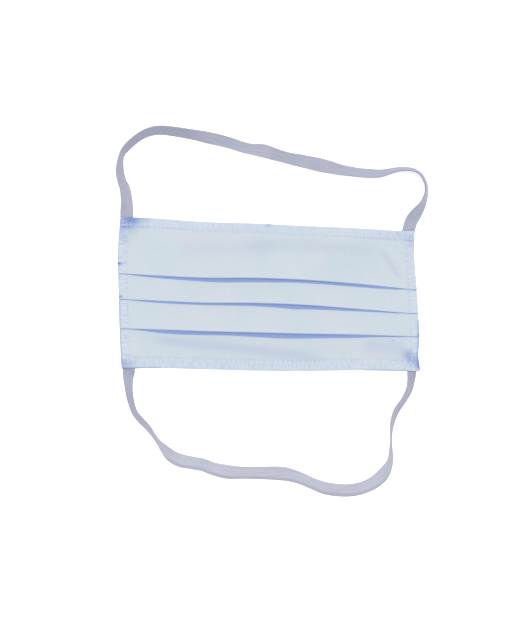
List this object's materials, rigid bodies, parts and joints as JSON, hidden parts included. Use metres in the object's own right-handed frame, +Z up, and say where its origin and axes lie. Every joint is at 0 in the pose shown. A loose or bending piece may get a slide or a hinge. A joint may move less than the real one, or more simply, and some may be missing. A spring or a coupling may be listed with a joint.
{
  "type": "pleated surgical face mask",
  "caption": "Rectangular pleated cloth face mask with turned, sewn hems and a flat elastic head band at the nose edge and at the chin edge, lying face up.",
  "frame": {"origin": "on the surface that the mask lies on, under the middle of the whole mask with its bands", "axes": "+X to the right along the pleats, +Y towards the nose edge, +Z up out of the surface; the outer face looks along +Z"},
  "size_m": [0.1885, 0.224, 0.0079],
  "materials": {
    "face_cloth": "pale blue nonwoven cloth, matt, deeper blue inside the pleats",
    "hem_cloth": "the same cloth turned under and sewn, a little bluer at the corners",
    "band_elastic": "grey lavender knitted flat elastic, matt"
  },
  "bodies": {
    "root": {"face_panel": "face_cloth", "top_hem": "hem_cloth", "bottom_hem": "hem_cloth", "left_side_hem": "hem_cloth", "right_side_hem": "hem_cloth", "upper_head_band": "band_elastic", "lower_head_band": "band_elastic"}
  },
  "joints": []
}
